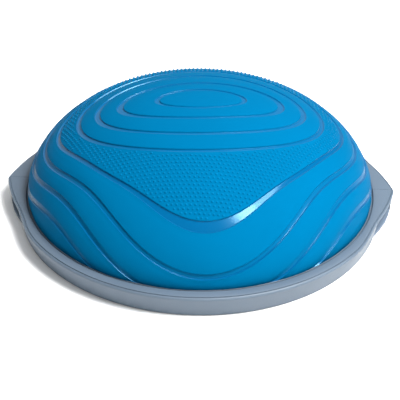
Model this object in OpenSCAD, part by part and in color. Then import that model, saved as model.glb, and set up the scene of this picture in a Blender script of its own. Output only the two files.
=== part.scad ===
// Balance dome trainer: an inflated half-dome clamped to a flat platform by a two-piece rim ring.
// Millimetres. The floor is z = 0, +Z is up, the two grip ears lie on the X axis, the front is -Y.
// Every NODE is one physical piece, or one set of identical screws.

/* [Overall] */
// Diameter of the round rim at its widest
rim_d = 600; // [560:1:640]
// Height of the dome's crown above the floor
crown_z = 194.6; // [170:0.1:215]
// Height of the rim ring's flat top above the floor
rim_z = 37.8; // [34:0.1:44]
// Length over the tips of the two grip ears
ear_span = 634; // [620:1:660]

/* [Dome bladder] */
// Gap across the ring between the dome's widest line and the rim diameter, both sides together
dome_inset = 42.4; // [40:0.1:60]
// Height of the dome's widest line
dome_wide_z = 40; // [39.5:0.1:44]
// Radius of the crown's arc
crown_r = 467; // [440:1:520]
// Angle from the vertical where the crown's arc meets the shoulder's arc
crown_a = 19.2; // [15:0.1:24]
// Angle from the vertical where the shoulder's arc meets the haunch's arc
shoulder_a = 57.4; // [50:0.1:64]
// Radius that rolls the dome under towards the ring's opening
roll_r = 6; // [5:0.1:8]
// Wall thickness of the bladder
dome_wall = 4; // [3:0.1:5]
// Thickness of the clamped flange
flange_t = 5; // [4.5:0.1:6]
// How far the flange reaches out past the neck
flange_out = 4.6; // [3.5:0.1:4.8]

/* [Rim ring] */
// How far the rim's drafted wall leans in at the bottom
rim_draft = 8.6; // [5:0.1:10]
// Radius of the rim's soft top edge
rim_edge_r = 3; // [2:0.1:4]
// Thickness of the flat top of the ring
ring_top_t = 4; // [3:0.1:5]
// Thickness of the ring's outer wall
ring_wall = 3; // [2.5:0.1:3.5]
// Radial gap between the bladder's neck and the ring's inner lip
neck_gap = 1.5; // [1:0.1:2]
// Width of the joint between the two ring halves
ring_split = 0.2; // [0.1:0.05:0.6]
// Number of screw bosses along each ring half, between the ears
boss_n = 8; // [4:1:10]

/* [Grip ears] */
// Angle from the ear's centre line at which its straight flank runs into the round rim
ear_a = 30; // [26:0.5:34]
// Angle from the ear's centre line at which the finger hollow ends
hollow_a = 18; // [16:0.5:20]
// Half width of the solid post at the ear's tip
post_w = 14; // [12.5:0.5:18]
// How far the platform's ear stays inside the ring's ear at the tip
plate_ear_in = 2.5; // [1:0.5:6]
// How far each flank of the platform's ear bows out between its ends
plate_ear_bow = 5.2; // [0:0.2:6]
// Angle from the centre line at which the platform's ear runs into the round plate
plate_ear_a = 17; // [14:0.5:17.5]

/* [Platform] */
// Thickness of the platform's flat bottom
plate_t = 4.5; // [4:0.1:6]
// Number of radial ribs
rib_n = 16; // [8:8:32]
// Thickness of the ribs
rib_t = 3; // [2:0.1:4]
// Number of round ribs between the hub and the flange seat
round_rib_n = 3; // [1:1:4]
// Width of the grip grooves in the underside
groove_w = 4; // [2:0.5:6]
// Depth of the grip grooves in the underside
groove_t = 0.8; // [0.4:0.1:1.2]

/* [Feet] */
// How far the feet stand out below the platform
foot_out = 1.5; // [1:0.1:2.5]
// Diameter of one foot
foot_d = 28; // [20:1:32]
// Radius of the circle of feet
foot_ring_r = 240; // [232:1:246]

/* [Valve] */
// Radius of the valve's bore
valve_bore_r = 4; // [3:0.1:5]
// Outer radius of the valve's sleeve
valve_sleeve_r = 9; // [8:0.1:10]
// Radius of the recess around the valve in the underside
port_r = 18; // [16:0.5:20]

/* [Screws] */
// Thread radius of the ring screws
screw_r = 1.95; // [1.5:0.05:2]
// Length of a ring screw under its head
screw_l = 20; // [16:1:22]
// Head radius of a ring screw
screw_head_r = 3.4; // [3:0.1:3.5]
// Head height of a ring screw
screw_head_h = 2.2; // [1.8:0.1:2.4]

/* [View] */
// Node to draw

/* [Hidden] */
$fn = 96;

// Clearance between neighbouring pieces that only touch
fit = 0.05;

// Colours
pvc_blue = [0.02, 0.42, 0.68];
shell_grey = [0.46, 0.52, 0.58];
platform_grey = [0.40, 0.45, 0.51];
rubber_black = [0.08, 0.08, 0.09];
steel = [0.70, 0.71, 0.73];
valve_white = [0.86, 0.87, 0.86];

// Heights of the layers, from the floor up
plate_z = foot_out;
plate_top = plate_z + plate_t;
flange_z = 22;
flange_top = flange_z + flange_t;
floor_top = flange_z + dome_wall;
ring_under = rim_z - ring_top_t;
lip_z = rim_z - 2.2;

// Radii
rim_r = rim_d / 2;
rim_base_r = rim_r - rim_draft;
dome_r = (rim_d - dome_inset) / 2;
neck_r = dome_r - roll_r + 2.6;
flange_r = neck_r + flange_out;
lip_r = neck_r + neck_gap;
skirt_lip_t = 1.4;
plate_r = rim_base_r - skirt_lip_t - 4 * fit;
boss_r = 3.9;
boss_ring_r = flange_r + boss_r + 0.5;
hollow_r = flange_r + 3;
hub_r = port_r + 4;

// Dome profile: crown, shoulder and haunch arcs, each tangent to the next
function dir(a) = [sin(a), cos(a)];
u1 = dir(crown_a);
u2 = dir(shoulder_a);
c1 = [0, crown_z - crown_r];
gap = [dome_r, dome_wide_z] - c1 - crown_r * u1;
m11 = u2[0] - u1[0];
m12 = 1 - u2[0];
m21 = u2[1] - u1[1];
m22 = -u2[1];
det = m11 * m22 - m12 * m21;
shoulder_r = (gap[0] * m22 - m12 * gap[1]) / det;
haunch_r = (m11 * gap[1] - m21 * gap[0]) / det;
c2 = c1 + (crown_r - shoulder_r) * u1;
c3 = c2 + (shoulder_r - haunch_r) * u2;
far = 2 * crown_r;
// Overlap between the regions cut away outside the arcs
lap_a = 4;

// Rim wall: a straight draft line up to the soft top edge
edge_c = [rim_r - rim_edge_r, rim_z - rim_edge_r];
draft_a = atan2(rim_draft, edge_c[1] - plate_z);
function wall_r(z) = rim_base_r + (z - plate_z) * tan(draft_a);
function inner_r(z) = wall_r(z) - ring_wall / cos(draft_a);

// Ear flank: from the tip to the rim circle
ear_tip = ear_span / 2;
flank_end = rim_r * [cos(ear_a), sin(ear_a)];
flank_v = flank_end - [ear_tip, 0];
flank_dir = atan2(flank_v[1], flank_v[0]);
skin_a = ear_a - 6;
plate_tip = ear_tip - plate_ear_in;
plate_end = (plate_r + 1.2) * [cos(plate_ear_a), sin(plate_ear_a)];
plate_flank = plate_end - [plate_tip, 0];
plate_flank_out = [plate_flank[1], -plate_flank[0]] / norm(plate_flank);
function plate_bow(t) = plate_ear_bow * sin(180 * t);
function plate_flank_at(t) = [plate_tip, 0] + t * plate_flank + plate_bow(t) * plate_flank_out;

// Screw places in one quadrant: along the ring, and one in each ear's post
boss_a0 = 27;
function boss_at(i) = boss_a0 + i * (180 - 2 * boss_a0) / (boss_n - 1);
post_screw = [ear_tip - 18, 7.5];

// A triangle of half angle a about the X axis
module wedge(a, r) {
  polygon([[0, 0], r * [cos(a), -sin(a)], r * [cos(a), sin(a)]]);
}

module both_ends() {
  children();
  mirror([1, 0, 0]) children();
}

module both_sides() {
  children();
  mirror([0, 1, 0]) children();
}

// What lies outside an arc of radius r about c, between the angles a0 and a1 from the vertical
module outside_arc(c, r, a0, a1) {
  difference() {
    polygon([c, c + far * dir(a0), c + far * dir(a1)]);
    translate(c) circle(r = r, $fn = 240);
  }
}

// Half outline of the dome and neck, moved in by d, above height z0
module dome_half(d, z0) {
  difference() {
    intersection() {
      translate(c1) circle(r = crown_r - d, $fn = 360);
      translate([0, z0]) square([far, far]);
    }
    outside_arc(c2, shoulder_r - d, crown_a, shoulder_a + lap_a);
    outside_arc(c3, haunch_r - d, shoulder_a, 90 + lap_a);
    difference() {
      translate([neck_r - d, z0 - 1]) square([far, dome_wide_z - z0 + 1]);
      translate([dome_r - roll_r, dome_wide_z]) circle(r = roll_r - d);
    }
  }
}

module dome_bladder() {
  color(pvc_blue) rotate_extrude($fn = 180) {
    difference() {
      union() {
        dome_half(0, flange_z);
        translate([0, flange_z]) square([flange_r, flange_t]);
      }
      dome_half(dome_wall, floor_top);
      square([valve_sleeve_r + fit, floor_top + 1]);
    }
  }
}

// Cross-section of the round part of the rim ring
module ring_section() {
  difference() {
    polygon([
      [rim_base_r, plate_z],
      [rim_r, edge_c[1]],
      [rim_r, rim_z],
      [lip_r + 6.3, rim_z],
      [lip_r + 3, lip_z],
      [lip_r + 2, lip_z],
      [lip_r + 1.4, lip_z + 0.5],
      [lip_r + 0.6, lip_z + 0.5],
      [lip_r, lip_z],
      [lip_r, flange_top + fit],
      [lip_r + 2.5, flange_top + fit],
      [lip_r + 2.5, ring_under],
      [inner_r(ring_under), ring_under],
      [inner_r(plate_top), plate_top],
      [rim_base_r - skirt_lip_t, plate_top],
      [rim_base_r - skirt_lip_t, plate_z]
    ]);
    outside_arc(edge_c, rim_edge_r, 0, 90);
    translate([lip_r + 2, lip_z - 1.4]) square([1, 3]);
  }
}

// Everything inside the rim's outer surface and outside the flange, above height z0
module rim_envelope(z0) {
  rotate_extrude($fn = 180) {
    polygon([
      [flange_r + 0.6, z0],
      [wall_r(z0) - 0.5, z0],
      [wall_r(ring_under) - 0.5, ring_under + 1],
      [flange_r + 0.6, ring_under + 1]
    ]);
  }
}

// The platform's pointed ears, each from the centre out to a tip
module plate_ears() {
  flank = [for (t = [0:0.25:1]) plate_flank_at(t)];
  other_flank = [for (i = [4:-1:1]) [flank[i][0], -flank[i][1]]];
  both_ends() polygon(concat([[0, 0]], other_flank, flank));
}

// A screw boss standing at the origin, from the platform to the ring's top
module boss() {
  translate([0, 0, plate_top]) cylinder(r = boss_r, h = ring_under - plate_top + 1, $fn = 48);
}

module pilot() {
  translate([0, 0, plate_top - 1]) cylinder(r = screw_r + fit, h = screw_l, $fn = 32);
}

// Places its children at every screw
module at_screws() {
  both_sides() for (i = [0:boss_n - 1]) rotate(boss_at(i)) translate([boss_ring_r, 0, 0]) children();
  both_ends() both_sides() translate(post_screw) children();
}

module ear_parts() {
  // The flat grip skin
  translate([0, 0, ring_under]) linear_extrude(ring_top_t) difference() {
    both_ends() wedge(skin_a, 1.2 * ear_tip);
    circle(r = lip_r + 8, $fn = 180);
  }
  // The wall at the back of the finger hollow
  both_ends() intersection() {
    difference() {
      cylinder(r = hollow_r, h = ring_under + 1, $fn = 180);
      cylinder(r = flange_r + 0.6, h = 3 * rim_z, center = true, $fn = 180);
    }
    translate([0, 0, plate_top]) linear_extrude(rim_z) wedge(hollow_a + 0.6, 2 * rim_r);
  }
  // The end walls of the finger hollow
  intersection() {
    rim_envelope(plate_top);
    both_ends() both_sides() rotate(hollow_a) translate([0, -0.5, 0]) cube([rim_r, 3, rim_z]);
  }
  // The post at the tip
  both_ends() translate([0, 0, plate_top]) linear_extrude(ring_under - plate_top + 1) {
    difference() {
      intersection() {
        plate_ears();
        translate([hollow_r - 1, -post_w]) square([60, 2 * post_w]);
      }
      both_sides() translate([hollow_r + 2, 2]) square([8, post_w - 4.5]);
    }
  }
}

// The whole clamp ring before it is split
module ring_full() {
  difference() {
    union() {
      difference() {
        rotate_extrude($fn = 180) ring_section();
        both_ends() linear_extrude(ring_under) difference() {
          wedge(hollow_a, 2 * rim_r);
          circle(r = hollow_r - 2, $fn = 180);
        }
      }
      ear_parts();
      both_sides() for (i = [0:boss_n - 1]) rotate(boss_at(i)) {
        translate([boss_ring_r, 0, 0]) boss();
      }
      intersection() {
        rim_envelope(plate_top + 3);
        both_sides() for (i = [0:boss_n - 1]) rotate(boss_at(i)) {
          translate([boss_ring_r, -1, 0]) cube([30, 2, rim_z]);
        }
      }
    }
    at_screws() pilot();
    // Straight flanks of the ears, with a small chamfer along their top edge
    both_ends() both_sides() translate([ear_tip, 0, 0]) rotate(flank_dir) {
      translate([-20, -ear_tip / 2, -1]) cube([norm(flank_v) + 40, ear_tip / 2, rim_z + 2]);
      translate([norm(flank_v) / 2, 0, rim_z]) rotate([45, 0, 0]) {
        cube([norm(flank_v) + 40, 1.7, 1.7], center = true);
      }
    }
  }
}

module ring_half(side) {
  color(shell_grey) intersection() {
    ring_full();
    translate([-rim_r - 50, side > 0 ? ring_split / 2 : -rim_r - 50, -1]) {
      cube([rim_d + 100, rim_r + 50 - ring_split / 2, rim_z + 10]);
    }
  }
}

module rim_ring_front() {
  ring_half(-1);
}

module rim_ring_back() {
  ring_half(1);
}

// Radii of the round ribs
seat_in_r = flange_r - 14;
function round_rib_r(i) = hub_r + (i + 1) * (seat_in_r - hub_r) / (round_rib_n + 1);

module tube_at(r, t, z0, z1) {
  translate([0, 0, z0]) difference() {
    cylinder(r = r, h = z1 - z0, $fn = 120);
    translate([0, 0, -1]) cylinder(r = r - t, h = z1 - z0 + 2, $fn = 120);
  }
}

module at_feet() {
  for (i = [0:7]) rotate(22.5 + 45 * i) translate([foot_ring_r, 0, 0]) children();
}

module base_platform() {
  seat_top = flange_z - fit;
  color(platform_grey) difference() {
    union() {
      translate([0, 0, plate_z]) linear_extrude(plate_t) {
        circle(r = plate_r, $fn = 180);
        plate_ears();
      }
      // Flange seat: two walls under a ledge
      rotate_extrude($fn = 180) {
        translate([seat_in_r, plate_top - 1]) square([rib_t, seat_top - plate_top + 1]);
        translate([flange_r - 0.5 - rib_t, plate_top - 1]) square([rib_t, seat_top - plate_top + 1]);
        translate([seat_in_r, seat_top - 3]) square([flange_r - 0.5 - seat_in_r, 3]);
      }
      // Ribs that carry the bladder's floor
      for (i = [0:rib_n - 1]) rotate((i + 0.5) * 360 / rib_n) {
        translate([hub_r - 2, -rib_t / 2, plate_top - 1]) {
          cube([seat_in_r - hub_r + 3, rib_t, seat_top - plate_top + 1]);
        }
      }
      for (i = [0:round_rib_n - 1]) tube_at(round_rib_r(i), rib_t, plate_top - 1, seat_top);
      // Valve hub
      translate([0, 0, plate_z]) cylinder(r = hub_r, h = seat_top - plate_z);
      // Pads over the feet
      at_feet() translate([0, 0, plate_top - 1]) cylinder(r = 8, h = 2, $fn = 48);
    }
    // Valve port
    translate([0, 0, plate_z - 1]) cylinder(r = port_r, h = 9 - plate_z + 1);
    cylinder(r = valve_sleeve_r + fit, h = flange_z + 1);
    // Foot pockets and stem holes
    at_feet() {
      translate([0, 0, plate_z - 1]) cylinder(r = foot_d / 2 + fit, h = 3, $fn = 64);
      cylinder(r = 4 + fit, h = flange_z, $fn = 48);
    }
    // Screw counterbores and clearance holes
    at_screws() {
      translate([0, 0, plate_z - 1]) cylinder(r = screw_head_r + 0.3, h = 3.5, $fn = 48);
      cylinder(r = screw_r + 0.25, h = plate_top + 1, $fn = 32);
    }
    // Grip grooves in the underside
    for (r = [60:40:180]) tube_at(r + groove_w / 2, groove_w, plate_z - 1, plate_z + groove_t);
  }
}

module ring_screws() {
  head_top = plate_z + 2.5;
  color(steel) at_screws() {
    difference() {
      translate([0, 0, head_top - screw_head_h]) cylinder(r = screw_head_r, h = screw_head_h, $fn = 48);
      translate([0, 0, head_top - screw_head_h - 1]) {
        translate([-2, -0.4, 0]) cube([4, 0.8, 2.2]);
        translate([-0.4, -2, 0]) cube([0.8, 4, 2.2]);
      }
    }
    translate([0, 0, head_top - 0.5]) cylinder(r = screw_r, h = screw_l - 4, $fn = 32);
    translate([0, 0, head_top + screw_l - 4.5]) cylinder(r1 = screw_r, r2 = 0.7, h = 3, $fn = 32);
  }
}

// One push-in rubber foot
module foot(i) {
  color(rubber_black) rotate(22.5 + 45 * (i - 1)) translate([foot_ring_r, 0, 0]) {
    rotate_extrude($fn = 64) {
      polygon([
        [0, 0],
        [foot_d / 2 - 1, 0],
        [foot_d / 2, 1],
        [foot_d / 2, plate_z + 2],
        [4, plate_z + 2],
        [4, plate_top + 1 + fit],
        [5.5, plate_top + 1 + fit],
        [3.5, plate_top + 4.5],
        [0, plate_top + 4.5]
      ]);
    }
  }
}

module valve_seat() {
  color(valve_white) rotate_extrude($fn = 96) {
    polygon([
      [valve_bore_r, 9],
      [valve_sleeve_r, 9],
      [valve_sleeve_r, floor_top + fit],
      [16, floor_top + fit],
      [15, floor_top + 2],
      [valve_bore_r, floor_top + 2]
    ]);
  }
}

module valve_plug() {
  color(valve_white) {
    rotate_extrude($fn = 96) {
      polygon([
        [0, 6],
        [11, 6],
        [12, 7],
        [12, 9 - fit],
        [valve_bore_r - fit, 9 - fit],
        [valve_bore_r - fit, 22],
        [valve_bore_r - 1, 24],
        [0, 24]
      ]);
    }
    // Pull tab
    difference() {
      translate([-7, -1.5, 2]) cube([14, 3, 4.5]);
      translate([0, 0, 4]) rotate([90, 0, 0]) cylinder(r = 1.4, h = 5, center = true, $fn = 32);
    }
  }
}

dome_bladder();
base_platform();
rim_ring_front();
rim_ring_back();
ring_screws();
foot(1);  // foot_1
foot(2);  // foot_2
foot(3);  // foot_3
foot(4);  // foot_4
foot(5);  // foot_5
foot(6);  // foot_6
foot(7);  // foot_7
foot(8);  // foot_8
valve_seat();
valve_plug();
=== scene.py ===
import math

import bmesh
import bpy
import numpy as np
from mathutils import Matrix, Vector


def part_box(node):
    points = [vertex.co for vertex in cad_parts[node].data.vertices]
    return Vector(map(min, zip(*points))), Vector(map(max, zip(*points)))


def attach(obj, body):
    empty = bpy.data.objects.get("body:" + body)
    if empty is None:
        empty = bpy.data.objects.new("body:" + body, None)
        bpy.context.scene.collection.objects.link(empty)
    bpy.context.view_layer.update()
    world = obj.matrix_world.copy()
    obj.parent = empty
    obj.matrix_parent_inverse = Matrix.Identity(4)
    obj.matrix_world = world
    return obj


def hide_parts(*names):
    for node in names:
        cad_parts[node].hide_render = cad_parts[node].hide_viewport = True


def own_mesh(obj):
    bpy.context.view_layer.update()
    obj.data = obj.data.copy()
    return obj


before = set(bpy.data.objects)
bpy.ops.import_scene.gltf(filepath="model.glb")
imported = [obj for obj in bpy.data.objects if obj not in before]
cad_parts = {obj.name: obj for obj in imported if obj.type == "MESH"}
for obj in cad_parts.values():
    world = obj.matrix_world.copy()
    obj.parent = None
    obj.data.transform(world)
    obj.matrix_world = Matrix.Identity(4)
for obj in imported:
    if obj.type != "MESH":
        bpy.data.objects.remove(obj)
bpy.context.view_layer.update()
MM = 0.001

# ---------------------------------------------------------------- sizes, millimetres
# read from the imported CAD
RIM_R = 300.0
RIM_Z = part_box("rim_ring_front")[1].z / MM
EAR_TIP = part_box("rim_ring_front")[1].x / MM
CROWN_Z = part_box("dome_bladder")[1].z / MM
FLANGE_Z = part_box("dome_bladder")[0].z / MM
FLANGE_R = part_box("dome_bladder")[1].x / MM
# the dome: widest radius and its height, the tucked-in neck, the rubber's thickness
DOME_R = 278.8
WIDE_Z = 38.6
NECK_R = 275.4
ROLL_R = 6.0
WALL = 4.0
# the moulded pattern is turned a little from the ears' cross line
PATTERN_TURN = math.radians(4.7)


# ---------------------------------------------------------------- mesh helpers
def smoothstep(x):
    x = np.clip(x, 0.0, 1.0)
    return x * x * (3 - 2 * x)


def make_object(name, verts, faces, smooth=True):
    mesh = bpy.data.meshes.new(name)
    mesh.from_pydata([tuple(v) for v in np.asarray(verts, float)], [], faces)
    mesh.validate()
    mesh.update()
    if smooth:
        mesh.polygons.foreach_set("use_smooth", [True] * len(mesh.polygons))
    ob = bpy.data.objects.new(name, mesh)
    bpy.context.scene.collection.objects.link(ob)
    return ob


def tidy(ob, sharp_deg=None):
    """Faces turned outward, with edges steeper than sharp_deg kept sharp."""
    bm = bmesh.new()
    bm.from_mesh(ob.data)
    bmesh.ops.recalc_face_normals(bm, faces=bm.faces)
    if sharp_deg is not None:
        limit = math.radians(sharp_deg)
        for e in bm.edges:
            if len(e.link_faces) == 2 and e.calc_face_angle(0.0) > limit:
                e.smooth = False
    bm.to_mesh(ob.data)
    bm.free()
    ob.data.update()
    return ob


# ---------------------------------------------------------------- dome profile
def dome_profile():
    """Arc length, radius and height from the crown down to the neck, and the outward normal."""
    power_r, power_z = 2.124, 1.814  # how square the section is across and upwards
    t = np.linspace(math.pi / 2, 0.0, 1600)
    r = DOME_R * np.cos(t) ** (2 / power_r)
    z = WIDE_Z + (CROWN_Z - WIDE_Z) * np.sin(t) ** (2 / power_z)
    r[0] = 0.0
    # below its widest line the dome rolls inward to the neck
    a = np.linspace(0.0, math.acos((NECK_R - DOME_R + ROLL_R) / ROLL_R), 60)[1:]
    r = np.concatenate([r, DOME_R - ROLL_R + ROLL_R * np.cos(a)])
    z = np.concatenate([z, WIDE_Z - ROLL_R * np.sin(a)])
    s = np.concatenate([[0.0], np.cumsum(np.hypot(np.diff(r), np.diff(z)))])
    grid = np.linspace(0.0, s[-1], 3000)
    r, z = np.interp(grid, s, r), np.interp(grid, s, z)
    dr, dz = np.gradient(r, grid), np.gradient(z, grid)
    length = np.hypot(dr, dz)
    # the normals are evened out so that the grooves run smoothly round the roll
    reach = 15
    kernel = np.ones(2 * reach + 1) / (2 * reach + 1)
    nr = np.convolve(np.pad(-dz / length, reach, mode="edge"), kernel, "valid")
    nz = np.convolve(np.pad(dr / length, reach, mode="edge"), kernel, "valid")
    return grid, r, z, nr / np.hypot(nr, nz), nz / np.hypot(nr, nz)


S_GRID, R_GRID, Z_GRID, NR_GRID, NZ_GRID = dome_profile()
S_END = S_GRID[-1]


def on_dome(s, angle, lift):
    """Points at arc length s and angle (from +X), raised by lift along the outward normal."""
    r = np.interp(s, S_GRID, R_GRID) + lift * np.interp(s, S_GRID, NR_GRID)
    z = np.interp(s, S_GRID, Z_GRID) + lift * np.interp(s, S_GRID, NZ_GRID)
    return np.stack([r * np.cos(angle), r * np.sin(angle), z], -1)


# ---------------------------------------------------------------- dome pattern
def oval(semi_x, semi_y):
    def radius(turn):
        return 1 / np.sqrt((np.sin(turn) / semi_x) ** 2 + (np.cos(turn) / semi_y) ** 2)

    return radius


def wave(*series):
    def radius(turn):
        return sum(c * np.cos(2 * i * turn) for i, c in enumerate(series))

    return radius


# arc length from the crown to the inner edge of each groove, by the angle from the pattern's front
EDGES = [
    oval(64, 26),
    oval(122, 54),
    oval(161, 92),
    oval(195, 128),
    wave(221.3, 5.2, 17.4, 1.1, 2.7),
    wave(268.5, 28.5, 26.0, 1.2),
    wave(309.0, 38.8, 26.1, -2.4),
    wave(346.0, 44.0, 25.4, -4.1),
]


def groove_width(k, turn):
    """Ovals widen towards the ears, and the first wave widens into a band at its two dips."""
    side = np.abs(np.sin(turn))
    if k < 4:
        return 6.5 + (1.5, 4.5, 2.5, 1.5)[k] * side**4
    if k == 4:
        front = np.degrees(np.arccos(np.clip(np.abs(np.cos(turn)), 0, 1)))
        return 7.5 + 10.5 * np.exp(-((front / 20) ** 2))
    return 8.5 + 0 * turn


# depth of each groove
DEPTHS = (1.8, 2.0, 2.0, 2.2, 2.4, 2.5, 2.5, 2.5)
# groove section: (mm from an edge or share of the width, height as a share of the depth, polish, which also
# darkens the colour as painted shade)
SECTION_IN = (
    (-1.5, 0.0, 0), (-0.7, -0.03, 0), (-0.2, -0.12, 0), (0.2, -0.38, 0.6),
    (0.6, -0.80, 1), (0.9, -0.97, 1), (1.3, -1.0, 1), (2.0, -1.0, 1),
)
SECTION_MID = ((0.42, -1.0, 1), (0.62, -0.94, 1))
SECTION_OUT = (
    (-1.8, -0.89, 1), (-1.1, -0.86, 1), (-0.75, -0.68, 1), (-0.45, -0.30, 1), (-0.15, -0.02, 1),
    (0.1, 0.06, 0.7), (0.35, 0.04, 0.1), (0.9, 0.0, 0),
)
# how polished the floor of each groove is, which also sets how far its colour is darkened as painted shade
FLOOR_POLISH_AND_SHADE = (0.6, 0.7, 0.7, 0.7, 1.0, 0.4, 0.4, 0.4)
# for the panel inside each groove, and the one outside the last: mesh steps across it, and its bulge
GAPS = (10, 5, 5, 4, 7, 6, 6, 5, 5)
PILLOW = (0.3, 0.5, 0.5, 0.4, 0.0, 0.9, 0.9, 0.9, 0.9)
LEAST_PANEL = 8.0
CROWD = 8.0
COLUMNS = 540


def dome_rows(angle):
    """Arc length and height of every row of the patterned surface, one column per angle."""
    turn = angle + math.pi / 2 - PATTERN_TURN
    rows_s, rows_h, polish_and_shade = [], [], []
    before = np.zeros_like(turn)
    for k, edge in enumerate(EDGES):
        inner = edge(turn)
        if k:
            inner = np.maximum(inner, before + LEAST_PANEL)
        width = groove_width(k, turn)
        depth = DEPTHS[k]
        start = inner + SECTION_IN[0][0]
        count = GAPS[k]
        for i in range(1, count):
            f = i / count
            rows_s.append(before + (start - before) * f)
            rows_h.append(0 * turn + PILLOW[k] * (1 - (2 * f - 1) ** 4))
            polish_and_shade.append(0.0)
        for part, base in ((SECTION_IN, inner), (SECTION_MID, None), (SECTION_OUT, inner + width)):
            for place, share, gloss in part:
                rows_s.append(inner + width * place if base is None else base + place)
                rows_h.append(0 * turn + share * depth)
                polish_and_shade.append(gloss * (1.0 if part is SECTION_OUT else FLOOR_POLISH_AND_SHADE[k]))
        before = inner + width + SECTION_OUT[-1][0]
    last = np.maximum(before + 20.0, S_END + 40.0)
    for i in range(1, GAPS[-1] + 1):
        f = i / GAPS[-1]
        rows_s.append(before + (last - before) * f)
        rows_h.append(0 * turn)
        polish_and_shade.append(0.0)
    s, h = np.array(rows_s), np.array(rows_h)
    # rows that would pass the neck crowd together just above it
    knee = S_END - CROWD
    over = np.maximum(s - knee, 0.0)
    s = np.where(s > knee, S_END - CROWD * np.exp(-over / CROWD), s)
    h = h * smoothstep((S_END - s) / 4.0)
    return s, h, polish_and_shade


def build_dome():
    """The patterned skin with its neck, flange, floor and inner face as one closed mesh."""
    angle = np.arange(COLUMNS) * 2 * math.pi / COLUMNS
    s, h, polish_and_shade = dome_rows(angle)
    rings = [on_dome(s[i], angle, h[i]) for i in range(len(s))]

    def ring(r, z):
        return np.stack([r * np.cos(angle), r * np.sin(angle), 0 * angle + z], -1)

    flange_top = FLANGE_Z + 5.0
    neck_z = Z_GRID[-1]
    hole_r = 9.1  # the valve seat sits in it
    lining = -WALL - 3.0
    for r, z in (
        (NECK_R, neck_z - 0.4), (NECK_R, flange_top + 0.6), (NECK_R + 0.6, flange_top),
        (FLANGE_R - 0.5, flange_top), (FLANGE_R, flange_top - 0.5), (FLANGE_R, FLANGE_Z + 0.5),
        (FLANGE_R - 0.5, FLANGE_Z), (150.0, FLANGE_Z), (hole_r, FLANGE_Z),
        (hole_r, FLANGE_Z + WALL), (150.0, FLANGE_Z + WALL), (NECK_R - WALL - 0.5, FLANGE_Z + WALL),
        (NECK_R - WALL, FLANGE_Z + WALL + 0.5), (NECK_R - WALL, neck_z),
    ):
        rings.append(ring(r, z))
    for f in np.linspace(0.985, 0.05, 14):
        rings.append(on_dome(0 * angle + (S_END - 10) * f, angle, lining))
    verts = [np.array([[0.0, 0.0, CROWN_Z]])] + rings
    verts.append(np.array([[0.0, 0.0, CROWN_Z + lining]]))
    verts = np.concatenate(verts) * MM
    n, count = COLUMNS, len(rings)
    faces = []
    for j in range(n):
        faces.append((0, 1 + j, 1 + (j + 1) % n))
    for i in range(count - 1):
        a, b = 1 + i * n, 1 + (i + 1) * n
        for j in range(n):
            k = (j + 1) % n
            faces.append((a + j, b + j, b + k, a + k))
    a, tip = 1 + (count - 1) * n, len(verts) - 1
    for j in range(n):
        faces.append((a + (j + 1) % n, a + j, tip))
    ob = tidy(make_object("dome_skin", verts, faces))
    # per-vertex polish mask; the material also darkens the grooves' colour by it as painted shade
    gloss = np.zeros(len(verts), np.float32)
    gloss[1 : 1 + n * len(polish_and_shade)] = np.repeat(polish_and_shade, n)
    ob.data.attributes.new("polish_and_shade", "FLOAT", "POINT").data.foreach_set("value", gloss)
    return ob


def bump_places():
    """Arc length, angle and height factor of every grip bump, as columns."""
    pitch, row_step, margin = 7.0, 6.4, 3.4
    # a grid laid over the unrolled dome: rows staggered at the front, in line at the back
    rows = np.arange(-42, 43)
    v = np.repeat(rows * row_step, len(rows))
    shift = 0.5 * pitch * np.repeat(rows % 2, len(rows)) * (1 - smoothstep((v + 60.0) / 160.0))
    u = np.tile(rows * pitch, len(rows)) + shift
    s, a = np.hypot(u, v), np.arctan2(v, u)
    # Towards the back the bumps stand taller and their columns fan out. The fan's far point is the
    # camera's own place, chosen so that the gaps show on the skyline; the real layout isn't known.
    back = smoothstep((v - 50.0) / 90.0)
    far_x, far_y, true_y, spread = 58.0, -1382.0, 175.0, 0.985
    x, y = np.interp(s, S_GRID, R_GRID) * np.stack([np.cos(a), np.sin(a)])
    fanned = far_x + (u * spread - far_x) * (y - far_y) / (true_y - far_y)
    x += (fanned - x) * back
    s, a = np.interp(np.hypot(x, y), R_GRID, S_GRID), np.arctan2(y, x)
    turn = a + math.pi / 2 - PATTERN_TURN
    low = EDGES[3](turn) + groove_width(3, turn) + margin
    high = EDGES[4](turn) - margin
    inside = (s > low) & (s < high)
    return s[inside][:, None], a[inside][:, None], 1 + 0.45 * back[inside][:, None]


def bump_faces(sides, levels):
    """Triangles of one bump: rings of corners, each half a step round, a top and a bottom point."""
    top = sides * levels
    faces = []
    for q in range(sides):
        k = (q + 1) % sides
        for level in range(levels - 1):
            lo, hi = level * sides, (level + 1) * sides
            shift = level % 2
            faces.append((lo + q, lo + k, hi + (k if shift else q)))
            faces.append((lo + (q if shift else k), hi + k, hi + q))
        last = top - sides
        faces.append((last + q, last + k, top))
        faces.append((k, q, top + 1))
    return faces


def build_bumps():
    """Small closed bumps of the grip zone, between the last oval and the first wave."""
    sides = 8
    profile = ((2.1, -0.45), (1.8, 0.42), (1.1, 0.95))  # radius and height, from the foot up
    top_lift, bottom_lift = 1.12, -0.45
    s, a, rise = bump_places()
    r = np.interp(s, S_GRID, R_GRID)
    corner = np.arange(sides) * 2 * math.pi / sides
    rings = []
    for level, (size, lift) in enumerate(profile):
        c = corner + (level % 2) * math.pi / sides
        rings.append(on_dome(s + size * np.sin(c), a + size * np.cos(c) / r, lift * rise))
    rings.append(on_dome(s, a, top_lift * rise))
    rings.append(on_dome(s, a, bottom_lift))
    verts = np.concatenate(rings, 1)
    one = np.array(bump_faces(sides, len(profile)))
    faces = (one[None] + (np.arange(len(s)) * verts.shape[1])[:, None, None]).reshape(-1, 3)
    return tidy(make_object("dome_grip_bumps", verts.reshape(-1, 3) * MM, faces.tolist()))


# ---------------------------------------------------------------- rim ring
LIP_R = 276.9
EDGE_R = 3.2
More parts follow.
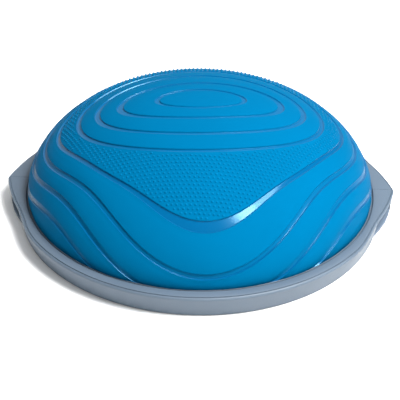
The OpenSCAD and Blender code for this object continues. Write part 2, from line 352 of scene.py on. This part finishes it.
# how far the ring's top edge stands out past RIM_R, by the degrees from an ear's tip
EAR_KNOTS = (
    (0.0, EAR_TIP - RIM_R), (7.0, 8.3), (12.0, 2.6), (16.5, -2.2), (20.5, -4.2), (25.0, -3.6),
    (30.0, -1.4), (36.0, 0.0),
)
# the platform's ear: its tip, where its flank meets the round, and the flank's bow
PLATE_TIP, PLATE_END_R, PLATE_END_A, PLATE_BOW = 314.5, 291.0, 17.0, 5.2
BASE_R = 291.4
# the finger recess under the ear: its two ends in degrees, and its back wall
HOLLOW = (2.3, 17.2)
HOLLOW_BACK = 283.2
# points of the section on the ring's top, rounded edge and outer wall
TOP_POINTS, EDGE_POINTS, WALL_POINTS = 19, 8, 13


def hermite(knots, x):
    """A smooth curve through the knots, level at the last one."""
    xs, ys = np.array(knots).T
    m = np.gradient(ys, xs)
    m[-1] = 0.0
    i = np.clip(np.searchsorted(xs, x) - 1, 0, len(xs) - 2)
    h = xs[i + 1] - xs[i]
    t = np.clip((x - xs[i]) / h, 0, 1)
    return (
        ys[i] * (1 + 2 * t) * (1 - t) ** 2 + m[i] * h * t * (1 - t) ** 2
        + ys[i + 1] * t * t * (3 - 2 * t) + m[i + 1] * h * t * t * (t - 1)
    )


def top_radius(a):
    return RIM_R + (hermite(EAR_KNOTS, a) if a < EAR_KNOTS[-1][0] else 0.0)


def plate_outline():
    """Angle and radius along one flank of the platform's ear."""
    end_a = math.radians(PLATE_END_A)
    tip, end = np.array([PLATE_TIP, 0.0]), PLATE_END_R * np.array([math.cos(end_a), math.sin(end_a)])
    flank = end - tip
    out = np.array([flank[1], -flank[0]]) / np.hypot(*flank)
    t = np.linspace(0, 1, 41)[:, None]
    p = tip + t * flank + PLATE_BOW * np.sin(math.pi * t) * out
    return np.degrees(np.arctan2(p[:, 1], p[:, 0])), np.hypot(p[:, 0], p[:, 1])


PLATE_A, PLATE_R = plate_outline()


def foot_radius(a):
    """Outline of the ring's bottom edge, or of the post above the platform's ear."""
    return float(np.interp(a, PLATE_A, PLATE_R)) - 0.4 if a < PLATE_END_A else BASE_R


def ring_section(a):
    """Closed section (radius, height) of the ring at a degrees from the ear's centre line."""
    top, foot = top_radius(a), foot_radius(a)
    hollow = smoothstep((a - HOLLOW[0] + 0.5) / 1.0) * (1 - smoothstep((a - HOLLOW[1]) / 1.6))
    z_end = 6.05 if a < 18.2 else 1.6
    # lip, thin groove, then the shoulder that rises to the flat top
    pts = [
        (LIP_R + 0.15, 31.4), (LIP_R + 0.5, 33.6), (LIP_R + 0.8, 35.6), (LIP_R + 1.1, 36.3),
        (LIP_R + 1.6, 36.6), (LIP_R + 2.4, 36.6), (LIP_R + 2.8, 36.2), (LIP_R + 3.0, 34.4),
        (LIP_R + 3.6, 33.7), (LIP_R + 4.3, 34.2), (LIP_R + 4.5, 36.2), (LIP_R + 5.1, 37.0),
        (LIP_R + 7.0, 37.4), (LIP_R + 9.0, 37.6), (min(LIP_R + 12.5, top - 6.8), 37.75),
        # a small step down from the flat top to the rounded edge
        (top - EDGE_R - 1.6, RIM_Z), (top - EDGE_R - 1.2, RIM_Z - 0.15),
        (top - EDGE_R - 0.85, RIM_Z - 1.6), (top - EDGE_R - 0.25, RIM_Z - 1.5),
    ]
    edge_z = RIM_Z - EDGE_R - 0.5
    for q in np.linspace(0, 1, EDGE_POINTS):
        c = math.radians(14 + 90 * q)
        pts.append((top - EDGE_R + EDGE_R * math.sin(c), edge_z + EDGE_R * math.cos(c)))
    r0, z0 = pts[-1]
    under = z0 - 1.4
    solid = [
        (r0 + (foot - r0) * f, z0 + (z_end - z0) * f) for f in np.linspace(0.06, 1.0, WALL_POINTS)
    ]
    back = HOLLOW_BACK
    scoop = [
        (r0 - 0.5, z0 - 0.9), (r0 - 1.6, under), (r0 - 4.0, under - 0.2), (back + 9.0, under - 0.4),
        (back + 5.0, under - 1.2), (back + 2.4, under - 3.2), (back + 1.2, under - 6.0),
    ]
    scoop += [(back + 0.8, z) for z in np.linspace(under - 9.0, z_end, WALL_POINTS - len(scoop))]
    # the inner side, from the foot up and back to the lip
    inner = min(top - 6.5, 293.0)
    solid += [
        (foot - 2.4, z_end), (inner, 32.4), (inner - 1.0, 33.6), (LIP_R + 6.6, 33.4), (LIP_R + 5.2, 32.4),
    ]
    scoop += [
        (back - 1.6, z_end), (back - 1.6, 30.4), (back - 1.8, 31.0), (back - 2.2, 31.2), (back - 2.8, 30.8),
    ]
    pts += [
        (p[0] * (1 - hollow) + q[0] * hollow, p[1] * (1 - hollow) + q[1] * hollow)
        for p, q in zip(solid, scoop)
    ]
    pts += [(LIP_R + 2.6, 31.2), (LIP_R + 2.6, 27.3), (LIP_R + 0.2, 27.3)]
    return np.array(pts, float)


def inset(section, amount):
    """The section with its visible top and outer wall moved in, for the rounded seam edges."""
    index = np.arange(len(section))
    lean = np.clip((index - TOP_POINTS + 1) / EDGE_POINTS, 0, 1) * math.pi / 2
    move = amount * (index < TOP_POINTS + EDGE_POINTS + WALL_POINTS)
    return section - np.stack([np.sin(lean) * move, np.cos(lean) * move], -1)


def build_ring(name, side):
    """One half of the ring, from ear to ear; side is 1 for the back and -1 for the front."""
    half_gap, bevel = 0.15, 0.7
    degree = RIM_R * math.pi / 180
    ends = ((0.0, bevel), (0.25 * bevel, 0.3 * bevel), (bevel, 0.0))
    half = [(half_gap + x) / degree for x, _ in ends]
    half += list(np.arange(0.4, 31.0, 0.2)) + list(np.arange(31.0, 90.01, 0.5))
    angles = [(x, x) for x in half] + [(180 - x, x) for x in reversed(half[:-1])]
    sections = []
    for i, (theta, a) in enumerate(angles):
        section = ring_section(a)
        end = min(i, len(angles) - 1 - i)
        if end < len(ends):
            section = inset(section, ends[end][1])
        t = math.radians(theta) * side
        x, y = section[:, 0] * math.cos(t), section[:, 0] * math.sin(t)
        sections.append(np.stack([x, y, section[:, 1]], -1))
    m, n = len(sections[0]), len(sections)
    faces = []
    for i in range(n - 1):
        for j in range(m):
            k = (j + 1) % m
            faces.append((i * m + j, i * m + k, (i + 1) * m + k, (i + 1) * m + j))
    faces.append(tuple(range(m)))
    faces.append(tuple(reversed(range((n - 1) * m, n * m))))
    return tidy(make_object(name, np.concatenate(sections) * MM, faces), 32)


# ---------------------------------------------------------------- materials
def srgb(r, g, b):
    def lin(c):
        c /= 255
        return c / 12.92 if c <= 0.04045 else ((c + 0.055) / 1.055) ** 2.4

    return (lin(r), lin(g), lin(b), 1.0)


PVC_A, PVC_B = (0.0, 0.092, 0.205, 1), (0.0, 0.100, 0.222, 1)
# the grooves' colour, a little darker than the panels': painted shade for the recessed grooves
PVC_GROOVE_SHADE = (0.0, 0.078, 0.195, 1)


class Graph:
    """A material's node tree, with short ways to add and link nodes."""

    def __init__(self, name):
        self.mat = bpy.data.materials.new(name)
        self.mat.use_nodes = True
        self.tree = self.mat.node_tree
        self.bsdf = self.tree.nodes["Principled BSDF"]
        self.coord = self.node("ShaderNodeTexCoord").outputs["Object"]

    def node(self, kind, **values):
        n = self.tree.nodes.new(kind)
        for key, value in values.items():
            if hasattr(n, key):
                setattr(n, key, value)
            else:
                n.inputs[key].default_value = value
        return n

    def link(self, a, b):
        self.tree.links.new(a, b)

    def noise(self, scale, detail=3.0, rough=0.55, stretch=None):
        n = self.node("ShaderNodeTexNoise")
        n.inputs["Scale"].default_value = scale
        n.inputs["Detail"].default_value = detail
        n.inputs["Roughness"].default_value = rough
        source = self.coord
        if stretch:
            m = self.node("ShaderNodeMapping")
            m.inputs["Scale"].default_value = stretch
            self.link(self.coord, m.inputs["Vector"])
            source = m.outputs["Vector"]
        self.link(source, n.inputs["Vector"])
        return n.outputs["Fac"]

    def remap(self, value, lo, hi, out_lo, out_hi):
        n = self.node("ShaderNodeMapRange")
        n.inputs["From Min"].default_value = lo
        n.inputs["From Max"].default_value = hi
        n.inputs["To Min"].default_value = out_lo
        n.inputs["To Max"].default_value = out_hi
        self.link(value, n.inputs["Value"])
        return n.outputs["Result"]

    def mix(self, factor, a, b):
        n = self.node("ShaderNodeMix", data_type="RGBA")
        for socket, value in ((6, a), (7, b)):
            if isinstance(value, tuple):
                n.inputs[socket].default_value = value
            else:
                self.link(value, n.inputs[socket])
        self.link(factor, n.inputs["Factor"])
        return n.outputs[2]

    def mottle(self, scale, detail, a, b):
        return self.mix(self.remap(self.noise(scale, detail), 0.3, 0.7, 0, 1), a, b)

    def bump(self, height, strength, distance, normal=None):
        n = self.node("ShaderNodeBump")
        n.inputs["Strength"].default_value = strength
        n.inputs["Distance"].default_value = distance
        self.link(height, n.inputs["Height"])
        if normal is not None:
            self.link(normal, n.inputs["Normal"])
        return n.outputs["Normal"]

    def bevel(self, radius):
        n = self.node("ShaderNodeBevel", samples=6)
        n.inputs["Radius"].default_value = radius
        return n.outputs["Normal"]


def pvc_material():
    """Satin moulded panels with polished grooves between them, the grooves' colour a little darker as
    painted shade.

    The IOR and the tints are set to match the photo. They aren't those of real vinyl.
    """
    g = Graph("pvc_blue")
    polish_and_shade = g.node("ShaderNodeAttribute", attribute_name="polish_and_shade").outputs["Fac"]
    panel = g.mottle(5, 4, PVC_A, PVC_B)
    # the polish mask also darkens the grooves' colour here: painted shade
    g.link(g.mix(polish_and_shade, panel, PVC_GROOVE_SHADE), g.bsdf.inputs["Base Color"])
    satin = g.remap(g.noise(9, 5, 0.6), 0.3, 0.7, 0.46, 0.56)
    blend = g.node("ShaderNodeMix", data_type="FLOAT")
    g.link(polish_and_shade, blend.inputs["Factor"])
    g.link(satin, blend.inputs[2])
    blend.inputs[3].default_value = 0.16
    g.link(blend.outputs[0], g.bsdf.inputs["Roughness"])
    g.link(g.mix(polish_and_shade, (0.04, 0.62, 1.0, 1), (0.4, 0.8, 1.0, 1)), g.bsdf.inputs["Specular Tint"])
    # the grooves mirror more where they are seen at a low angle
    facing = g.node("ShaderNodeLayerWeight").outputs["Facing"]
    graze = g.node("ShaderNodeMath", operation="MULTIPLY")
    g.link(g.remap(facing, 0.72, 0.92, 0.0, 1.2), graze.inputs[0])
    g.link(g.remap(polish_and_shade, 0.1, 0.4, 0, 1), graze.inputs[1])
    ior = g.node("ShaderNodeMath", operation="ADD")
    g.link(g.remap(polish_and_shade, 0, 1, 1.045, 1.4), ior.inputs[0])
    g.link(graze.outputs[0], ior.inputs[1])
    g.link(ior.outputs[0], g.bsdf.inputs["IOR"])
    grain = g.remap(polish_and_shade, 0, 1, 0.16, 0.0)
    fine = g.bump(g.noise(1100, 2), 0.1, 0.0004)
    g.link(grain, fine.node.inputs["Strength"])
    g.link(g.bump(g.noise(30, 3), 0.10, 0.002, fine), g.bsdf.inputs["Normal"])
    return g.mat


def bump_material():
    """The grip bumps: the same vinyl, smoother on their tops, and a little lighter as a painted sheen."""
    g = Graph("pvc_grip")
    # colours lightened by 8 %: a painted sheen for the bump tops
    sheen_lightened = [tuple(1.08 * c for c in colour[:3]) + (1,) for colour in (PVC_A, PVC_B)]
    g.link(g.mottle(5, 4, *sheen_lightened), g.bsdf.inputs["Base Color"])
    g.link(g.remap(g.noise(9, 5, 0.6), 0.3, 0.7, 0.36, 0.46), g.bsdf.inputs["Roughness"])
    g.bsdf.inputs["Specular Tint"].default_value = (0.08, 0.68, 1.0, 1)
    g.bsdf.inputs["IOR"].default_value = 1.12
    g.link(g.bump(g.noise(1100, 2), 0.12, 0.0004), g.bsdf.inputs["Normal"])
    return g.mat


def plastic_material(name, colour_a, colour_b, rough=(0.42, 0.55), bevel=None):
    g = Graph(name)
    g.link(g.mottle(7, 4, colour_a, colour_b), g.bsdf.inputs["Base Color"])
    g.link(g.remap(g.noise(14, 5, 0.6), 0.3, 0.7, *rough), g.bsdf.inputs["Roughness"])
    g.bsdf.inputs["Specular IOR Level"].default_value = 0.45
    soft = g.bevel(bevel) if bevel else None
    grain = g.bump(g.noise(1400, 2, 0.7), 0.22, 0.0003, soft)
    g.link(g.bump(g.noise(60, 3), 0.05, 0.001, grain), g.bsdf.inputs["Normal"])
    return g.mat


def rubber_material():
    g = Graph("rubber_black")
    g.link(g.mottle(60, 4, srgb(38, 38, 40), srgb(52, 51, 52)), g.bsdf.inputs["Base Color"])
    g.link(g.remap(g.noise(90, 4), 0.3, 0.7, 0.7, 0.9), g.bsdf.inputs["Roughness"])
    g.link(g.bump(g.noise(1800, 2), 0.3, 0.0003, g.bevel(0.0006)), g.bsdf.inputs["Normal"])
    return g.mat


def steel_material():
    g = Graph("steel")
    g.link(g.mottle(200, 3, srgb(178, 180, 184), srgb(205, 206, 208)), g.bsdf.inputs["Base Color"])
    g.bsdf.inputs["Metallic"].default_value = 1.0
    g.link(g.remap(g.noise(500, 3, 0.6, (1, 1, 8)), 0.3, 0.7, 0.25, 0.4), g.bsdf.inputs["Roughness"])
    g.link(g.bump(g.noise(900, 2, 0.6, (1, 1, 6)), 0.15, 0.0002, g.bevel(0.0003)), g.bsdf.inputs["Normal"])
    return g.mat


def paint(ob, material):
    """Gives a piece its material."""
    ob.data.materials.clear()
    ob.data.materials.append(material)


# ---------------------------------------------------------------- build
pvc = pvc_material()
shell = plastic_material("shell_grey", srgb(79, 93, 107), srgb(83, 97, 111))
platform = plastic_material("platform_grey", srgb(92, 106, 122), srgb(97, 111, 127), bevel=0.0009)
white = plastic_material("valve_white", srgb(222, 224, 222), srgb(232, 233, 230), (0.35, 0.45), bevel=0.0005)
rubber = rubber_material()
steel = steel_material()

dome = build_dome()
paint(dome, pvc)
bumps = build_bumps()
paint(bumps, bump_material())
# Both are attached to the base body.
for piece in (dome, bumps):
    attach(piece, "base")
    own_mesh(piece)
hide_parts("dome_bladder")

for half, side in (("back", 1), ("front", -1)):
    shell_half = build_ring("ring_shell_" + half, side)
    paint(shell_half, shell)
    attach(shell_half, "base")
    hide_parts("rim_ring_" + half)

for name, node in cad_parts.items():
    if name in ("dome_bladder", "rim_ring_front", "rim_ring_back"):
        continue  # drawn by the pieces above
    if name == "base_platform":
        paint(node, platform)
    elif name.startswith("foot_"):
        paint(node, rubber)
    elif name == "ring_screws":
        paint(node, steel)
    else:
        paint(node, white)

# ---------------------------------------------------------------- floor, light, camera
scene = bpy.context.scene
LIGHT_AIM = Vector((0, 0, 0.08))


def floor_material():
    g = Graph("floor")
    g.bsdf.inputs["Base Color"].default_value = (0.93, 0.93, 0.925, 1)
    g.bsdf.inputs["Roughness"].default_value = 0.9
    g.bsdf.inputs["Specular IOR Level"].default_value = 0.1
    return g.mat


def make_floor():
    half = 7.0
    verts = [(-half, -half, 0), (half, -half, 0), (half, half, 0), (-half, half, 0)]
    ob = make_object("floor", verts, [(0, 1, 2, 3)], smooth=False)
    ob.data.materials.append(floor_material())


def direction(azimuth, elevation, distance):
    """A place seen from the origin; azimuth 0 is the front, 90 the right."""
    a, e = math.radians(azimuth), math.radians(elevation)
    return Vector((math.sin(a) * math.cos(e), -math.cos(a) * math.cos(e), math.sin(e))) * distance


def area_light(name, place, size, power):
    data = bpy.data.lights.new(name, "AREA")
    data.shape = "RECTANGLE"
    data.size, data.size_y = size
    data.energy = power
    ob = bpy.data.objects.new(name, data)
    scene.collection.objects.link(ob)
    ob.location = place
    ob.rotation_mode = "QUATERNION"
    ob.rotation_quaternion = (LIGHT_AIM - place).to_track_quat("-Z", "Y")


make_floor()
area_light("key", direction(71, 61, 2.3), (1.1, 1.2), 80)
area_light("gloss", direction(48, 59, 2.3), (0.55, 0.8), 40)
area_light("side", direction(60, 25, 2.6), (1.2, 0.8), 4)
area_light("rear", direction(175, 50, 2.5), (1.6, 0.8), 6)


def backdrop_world():
    """Soft light all round for matt surfaces, and a different set of walls for mirrored rays.

    Real light isn't split like this. It stands for studio walls that the photo doesn't show.
    """
    world = bpy.data.worlds.new("studio")
    world.use_nodes = True
    nodes, links = world.node_tree.nodes, world.node_tree.links
    coord = nodes.new("ShaderNodeTexCoord")
    split = nodes.new("ShaderNodeSeparateXYZ")
    links.new(coord.outputs["Generated"], split.inputs[0])

    def ramp(value, lo, hi, a, b):
        n = nodes.new("ShaderNodeMapRange")
        n.interpolation_type = "SMOOTHSTEP"
        for key, v in (("From Min", lo), ("From Max", hi), ("To Min", a), ("To Max", b)):
            n.inputs[key].default_value = v
        links.new(value, n.inputs["Value"])
        return n.outputs["Result"]

    def maths(kind, a, b):
        n = nodes.new("ShaderNodeMath")
        n.operation = kind
        for i, v in enumerate((a, b)):
            if isinstance(v, (int, float)):
                n.inputs[i].default_value = v
            else:
                links.new(v, n.inputs[i])
        return n.outputs[0]

    # soft light for the matt surfaces: stronger from the front and from above, weaker from the left
    soft = maths("ADD", ramp(split.outputs["Y"], -0.1, -0.9, 0.0, 0.35), 0.44)
    soft = maths("ADD", soft, ramp(split.outputs["Z"], 0.6, 1.0, 0.0, 0.34))
    soft = maths("MULTIPLY", soft, ramp(split.outputs["X"], -1.0, 0.1, 0.7, 1.0))
    # what the polished grooves mirror: a low bright wall behind, brightest at the left
    wall = ramp(split.outputs["Y"], -0.3, 0.7, 0, 1)
    wall = maths("MULTIPLY", wall, ramp(split.outputs["Z"], 0.35, 0.95, 0.9, 0.1))
    wall = maths("MULTIPLY", wall, ramp(split.outputs["X"], -0.5, 0.15, 1.0, 0.55))
    wall = maths("MULTIPLY", wall, ramp(split.outputs["X"], 0.36, 0.52, 1.0, 0.05))
    mirrored = maths("ADD", wall, 0.04)
    glossy = nodes.new("ShaderNodeLightPath").outputs["Is Glossy Ray"]
    change = maths("MULTIPLY", glossy, maths("SUBTRACT", mirrored, soft))
    links.new(maths("ADD", soft, change), nodes["Background"].inputs["Strength"])
    nodes["Background"].inputs["Color"].default_value = (0.97, 0.985, 1.0, 1)
    return world


scene.world = backdrop_world()
scene.view_settings.view_transform = "Standard"

# camera: azimuth, elevation and roll in degrees, distance in metres, lens in millimetres
CAM_AZ, CAM_EL, CAM_ROLL = 2.4, 33.62, 0.667
CAM_DIST = 1.6614
cam_data = bpy.data.cameras.new("camera")
cam_data.sensor_width = 36.0
cam_data.lens = 90.04185
cam_data.shift_x, cam_data.shift_y = 0.0009, 0.005625
cam_data.clip_start, cam_data.clip_end = 0.05, 60
cam = bpy.data.objects.new("camera", cam_data)
scene.collection.objects.link(cam)
cam.location = direction(CAM_AZ, CAM_EL, CAM_DIST)
cam.rotation_mode = "QUATERNION"
roll = Matrix.Rotation(math.radians(CAM_ROLL), 3, "Z")
sight = (-cam.location).to_track_quat("-Z", "Y").to_matrix()
cam.rotation_quaternion = (sight @ roll).to_quaternion()
scene.camera = cam
